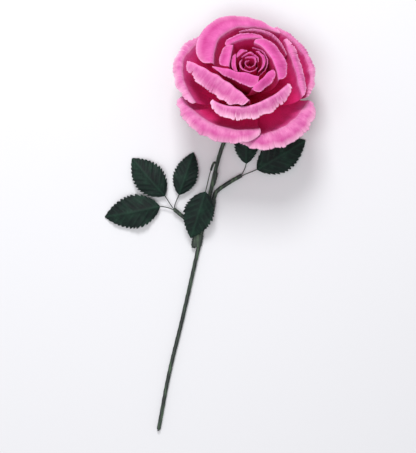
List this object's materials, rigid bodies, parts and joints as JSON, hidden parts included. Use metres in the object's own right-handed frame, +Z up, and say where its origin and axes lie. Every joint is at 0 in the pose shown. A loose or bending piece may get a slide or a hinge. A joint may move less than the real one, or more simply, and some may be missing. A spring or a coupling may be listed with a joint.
{
  "type": "crepe paper rose",
  "caption": "Pink crepe paper rose with folded, fringed petals, dark green paper leaves and a taped wire stem, lying on its back.",
  "frame": {"origin": "on the table, in the middle of the outline that the lying flower covers", "axes": "+Z up from the table, +Y from the stem's cut end towards the bloom, +X to the right of the flower seen from above"},
  "size_m": [0.1729, 0.3482, 0.0675],
  "materials": {
    "petal_paper": "matt crinkled crepe paper",
    "leaf_paper": "waxed crepe paper",
    "sepal_paper": "matt crepe paper",
    "floral_tape": "waxed crepe tape, also wound round the leaf wires",
    "steel_wire": "drawn wire"
  },
  "bodies": {
    "root": {"bud_petal_1": "petal_paper", "bud_petal_2": "petal_paper", "bud_petal_3": "petal_paper", "bud_petal_4": "petal_paper", "bud_petal_5": "petal_paper", "bud_petal_6": "petal_paper", "bud_petal_7": "petal_paper", "bud_petal_8": "petal_paper", "inner_petal_1": "petal_paper", "inner_petal_2": "petal_paper", "inner_petal_3": "petal_paper", "inner_petal_4": "petal_paper", "inner_petal_5": "petal_paper", "middle_petal_1": "petal_paper", "middle_petal_2": "petal_paper", "middle_petal_3": "petal_paper", "middle_petal_4": "petal_paper", "middle_petal_5": "petal_paper", "outer_petal_1": "petal_paper", "outer_petal_2": "petal_paper", "outer_petal_3": "petal_paper", "outer_petal_4": "petal_paper", "outer_petal_5": "petal_paper", "bloom_core": "petal_paper", "calyx": "sepal_paper", "stem_wire": "steel_wire", "stem_tape": "floral_tape", "stalk_tape_left": "floral_tape", "binding_left": "floral_tape", "stalk_tape_right": "floral_tape", "binding_right": "floral_tape", "stalk_tape_front": "floral_tape", "binding_front": "floral_tape", "leaf_left_1": "leaf_paper", "leaf_wire_left_1": "floral_tape", "leaf_left_2": "leaf_paper", "leaf_wire_left_2": "floral_tape", "leaf_left_3": "leaf_paper", "leaf_wire_left_3": "floral_tape", "leaf_right_1": "leaf_paper", "leaf_wire_right_1": "floral_tape", "leaf_right_2": "leaf_paper", "leaf_wire_right_2": "floral_tape", "leaf_front": "leaf_paper", "leaf_wire_front": "floral_tape"}
  },
  "joints": []
}
